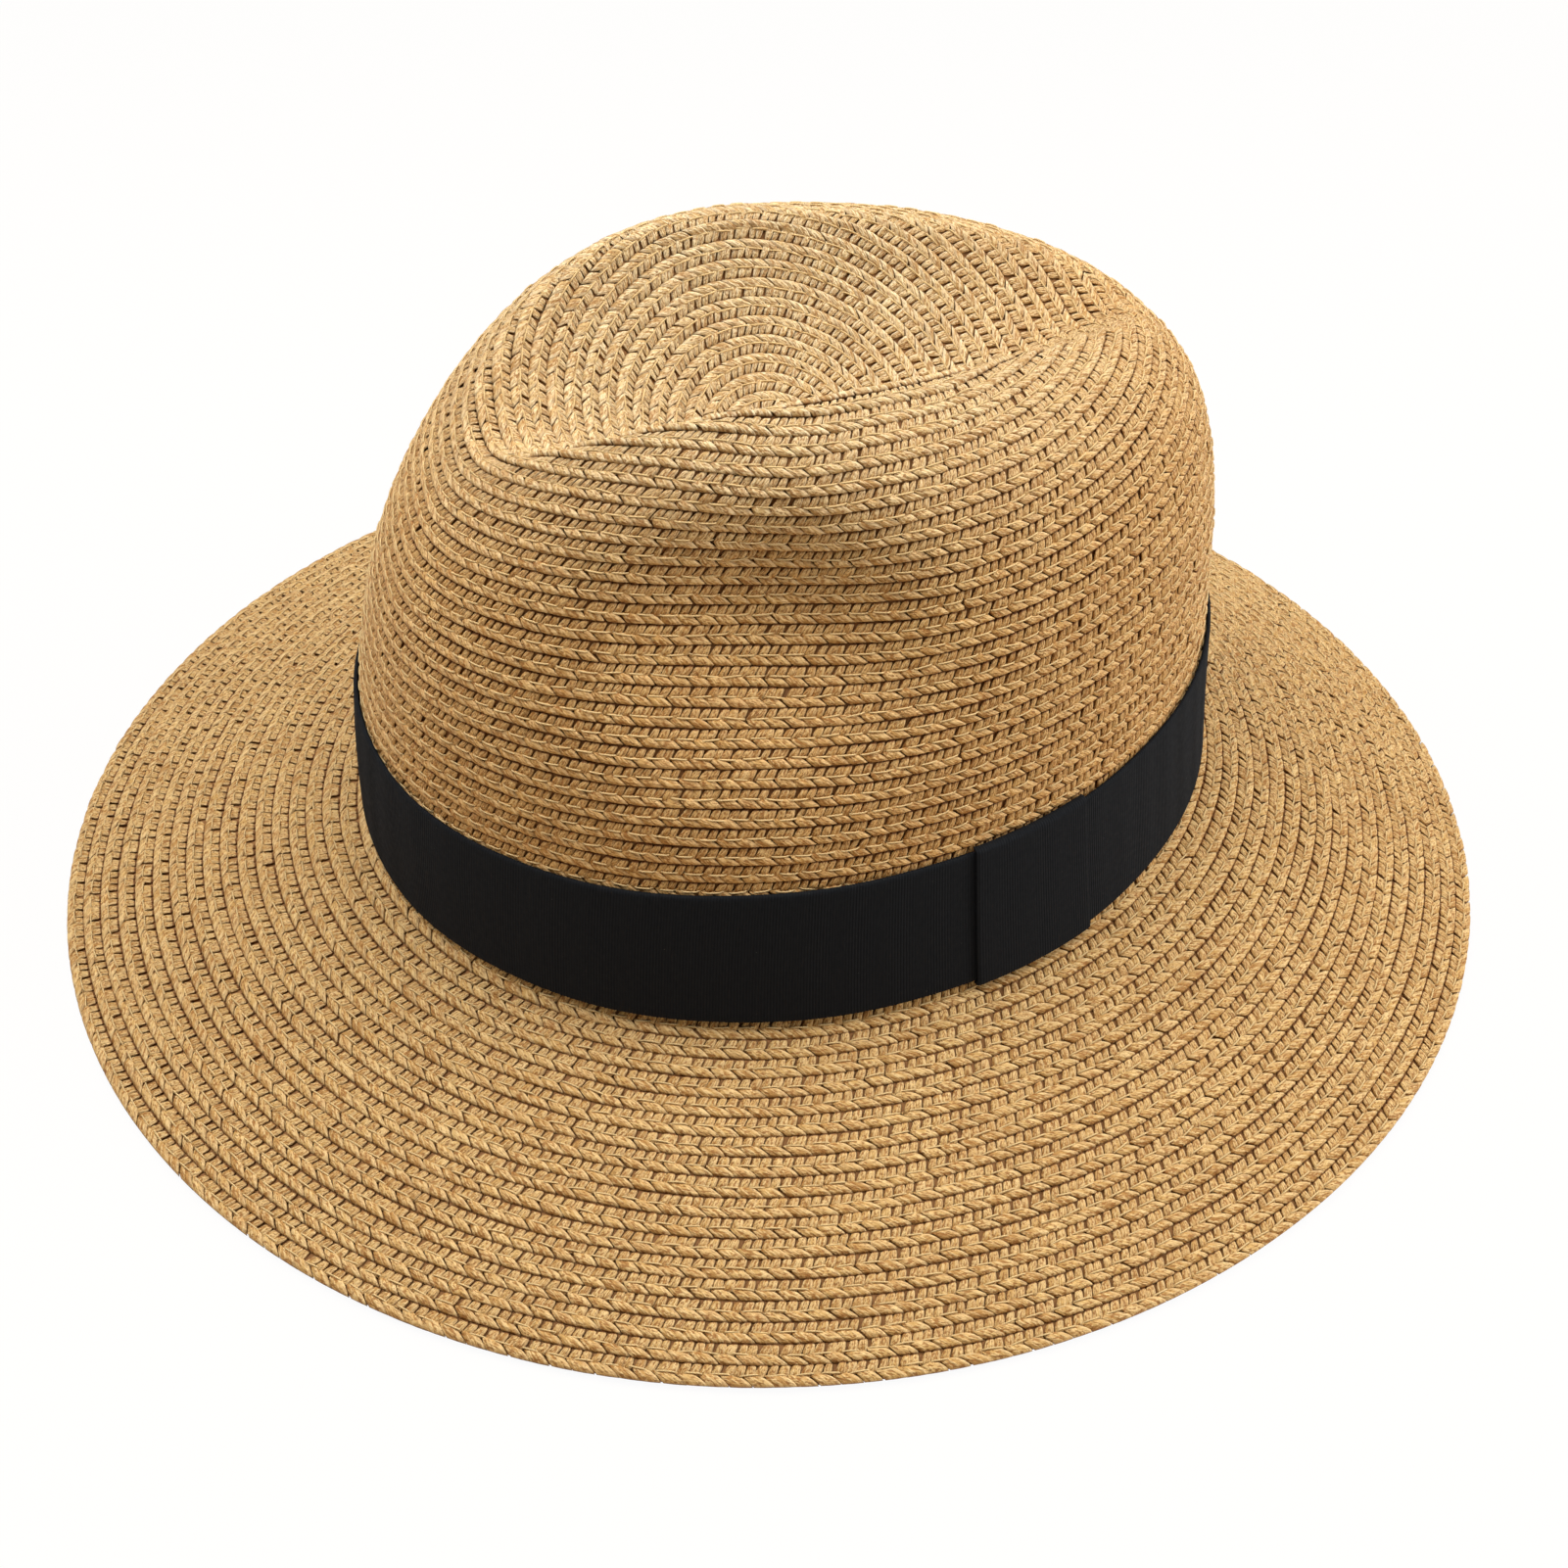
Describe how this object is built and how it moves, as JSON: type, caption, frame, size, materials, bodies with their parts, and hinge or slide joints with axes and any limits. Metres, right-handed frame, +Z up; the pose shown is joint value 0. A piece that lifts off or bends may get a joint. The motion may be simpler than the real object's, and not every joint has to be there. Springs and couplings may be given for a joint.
{
  "type": "straw hat",
  "caption": "Sewn paper-straw hat with a creased, front-pinched crown, a gently turned-down brim, a black ribbon band with a flat keeper and an inner sweatband.",
  "frame": {"origin": "centre of the brim's resting plane, under the middle of the whole hat's box", "axes": "+Z up out of the crown, -Y toward the wearer's front, +X toward the wearer's left, where the band's keeper is"},
  "size_m": [0.3142, 0.3366, 0.1527],
  "materials": {
    "straw": "plaited paper straw, satin",
    "ribbon": "ribbed woven ribbon, matt",
    "cotton": "plain cotton twill, matt",
    "thread": "spun thread, matt"
  },
  "bodies": {
    "root": {"crown_tip": "straw", "crown_side": "straw", "brim": "straw", "brim_edge_row": "straw", "hat_band": "ribbon", "band_keeper": "ribbon", "band_tack_1": "ribbon", "band_tack_2": "ribbon", "band_tack_3": "ribbon", "sweatband": "cotton", "sweatband_join_tape": "cotton", "sweatband_stitching": "thread"}
  },
  "joints": []
}
